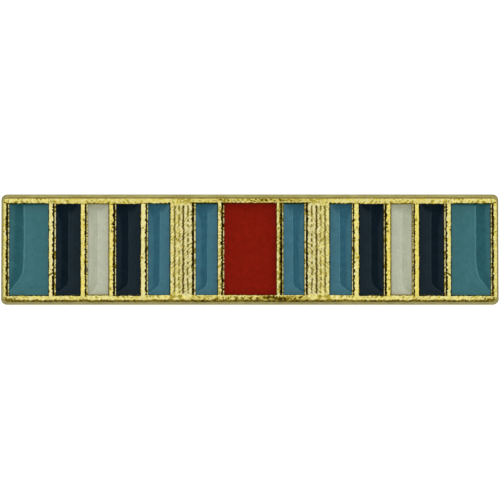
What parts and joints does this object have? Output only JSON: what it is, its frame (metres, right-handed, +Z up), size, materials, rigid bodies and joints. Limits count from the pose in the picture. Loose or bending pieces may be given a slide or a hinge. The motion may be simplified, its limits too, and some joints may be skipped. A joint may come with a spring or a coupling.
{
  "type": "ribbon-bar medal lapel pin",
  "caption": "Horizontal ribbon-bar lapel pin: a struck gilt bar with recessed cells of striped coloured enamel, reeded gilt stripes and a tack on its back.",
  "frame": {"origin": "centre of the pin's footprint on the surface that it rests on, leaning back on its long lower edge and the tack", "axes": "+X along the bar's length, towards the wearer's left as seen from the front; the striped face looks along -Y and 12 degrees up; +Z up"},
  "size_m": [0.0174, 0.0094, 0.004],
  "materials": {
    "gilt": "struck gilt brass, hammered on the rims and satin on the flange",
    "tack": "drawn brass, satin",
    "enamel_red": "glossy soft enamel",
    "enamel_blue": "glossy soft enamel",
    "enamel_navy": "glossy soft enamel",
    "enamel_white": "glossy soft enamel",
    "enamel_teal": "glossy soft enamel"
  },
  "bodies": {
    "root": {"gilt_bar": "gilt", "tack_post": "tack", "red_middle": "enamel_red", "blue_inner_left": "enamel_blue", "blue_inner_right": "enamel_blue", "blue_outer_left": "enamel_blue", "blue_outer_right": "enamel_blue", "navy_inner_left": "enamel_navy", "navy_inner_right": "enamel_navy", "white_left": "enamel_white", "white_right": "enamel_white", "navy_outer_left": "enamel_navy", "navy_outer_right": "enamel_navy", "teal_end_left": "enamel_teal", "teal_end_right": "enamel_teal"}
  },
  "joints": []
}
